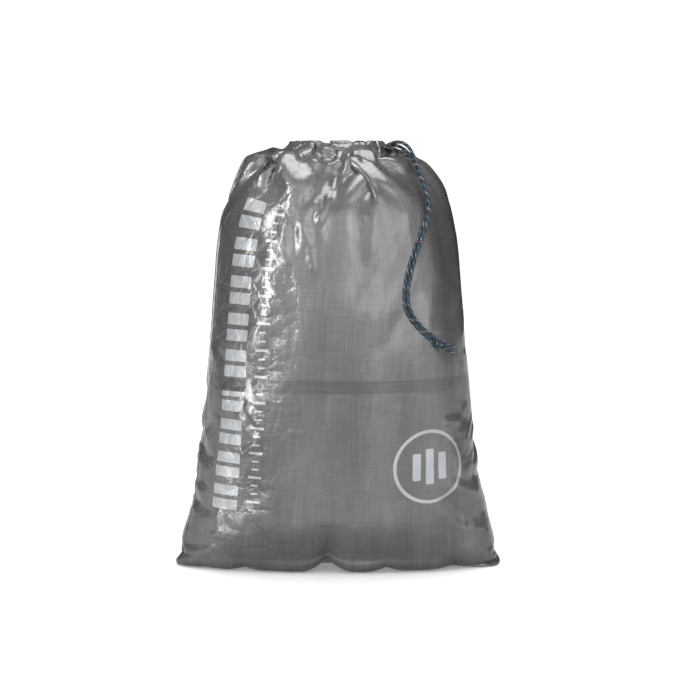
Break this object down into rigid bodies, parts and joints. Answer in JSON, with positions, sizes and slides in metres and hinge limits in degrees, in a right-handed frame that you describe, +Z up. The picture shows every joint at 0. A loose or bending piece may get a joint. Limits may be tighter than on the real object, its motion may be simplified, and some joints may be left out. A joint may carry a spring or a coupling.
{
  "type": "drawstring stuff sack",
  "caption": "Soft laminate stuff sack standing stuffed, with a gathered mouth, a sewn cord channel and a knotted drawcord that hangs down the front.",
  "frame": {"origin": "under the middle of the base, on the surface the sack stands on", "axes": "+Z up through the mouth, +X to the sack's right-hand side seam from the front, -Y towards the front, where the drawcord hangs"},
  "size_m": [0.302, 0.146, 0.4055],
  "materials": {
    "laminate": "gloss",
    "tape": "gloss",
    "thread": "matte",
    "cord": "matte"
  },
  "bodies": {
    "sack": {"back_exit_bartack": "thread", "back_hem_stitching": "thread", "back_hem_tunnel": "laminate", "back_lower_panel": "laminate", "back_splice_tape": "tape", "back_upper_panel": "laminate", "bottom_seam_tape": "tape", "drawcord_hem_loop": "cord", "front_exit_bartack": "thread", "front_hem_stitching": "thread", "front_hem_tunnel": "laminate", "front_lower_panel": "laminate", "front_splice_tape": "tape", "front_upper_panel": "laminate", "left_side_seam_tape": "tape", "right_side_seam_tape": "tape"},
    "drawcord_bight": {"front_drawcord_bight": "cord", "back_drawcord_bight": "cord"},
    "drawcord_tail": {"front_drawcord_strand": "cord", "back_drawcord_strand": "cord", "drawcord_knot": "cord", "front_cord_tip": "cord", "back_cord_tip": "cord"}
  },
  "joints": [
    {"name": "drawcord_pull", "type": "slide", "parent": "sack", "child": "drawcord_bight", "axis": [0.3001, -0.3501, 0.8873], "range_m": [0, 0.05]},
    {"name": "drawcord_swing", "type": "hinge", "parent": "drawcord_bight", "child": "drawcord_tail", "pos_m": [0.071, -0.03345, 0.39167], "axis": [-1, 0, 0], "range_deg": [0, 90]}
  ]
}
